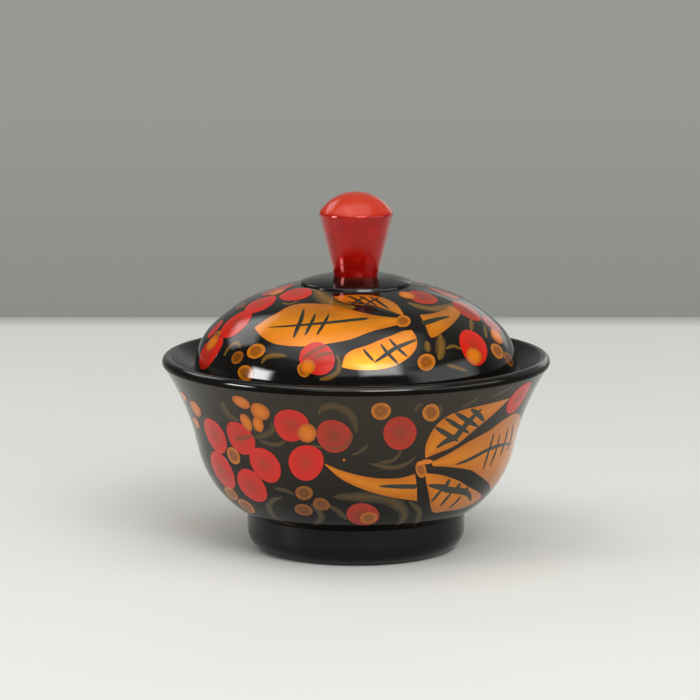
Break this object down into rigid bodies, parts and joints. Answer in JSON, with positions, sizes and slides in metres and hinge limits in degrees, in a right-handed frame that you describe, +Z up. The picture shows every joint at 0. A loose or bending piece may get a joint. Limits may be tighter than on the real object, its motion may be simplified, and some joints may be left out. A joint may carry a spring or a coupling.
{
  "type": "lidded salt cellar",
  "caption": "Turned wooden salt cellar: flared bowl on a rounded foot, loose domed lid with a collar and tapered red knob, black lacquer painted with berries and leaves.",
  "frame": {"origin": "on the table, under the middle of the foot", "axes": "+Z up along the turning axis, -Y towards the viewer of the painted front, +X to that viewer's right"},
  "size_m": [0.09, 0.09, 0.0834],
  "materials": {
    "black_lacquer": "glossy black lacquer over turned wood",
    "red_lacquer": "glossy red lacquer over turned wood",
    "inside_lacquer": "satin golden lacquer over turned wood, inside the bowl and under the lid",
    "berry_paint": "red paint under clear lacquer",
    "gold_paint": "warm gold paint under clear lacquer",
    "olive_paint": "thin brown-green paint under clear lacquer"
  },
  "bodies": {
    "bowl": {"bowl": "black_lacquer"},
    "lid": {"lid": "black_lacquer", "knob": "red_lacquer"}
  },
  "joints": [
    {"name": "lid_lift", "type": "slide", "parent": "bowl", "child": "lid", "axis": [0, 0, 1], "range_m": [0, 0.06]}
  ]
}
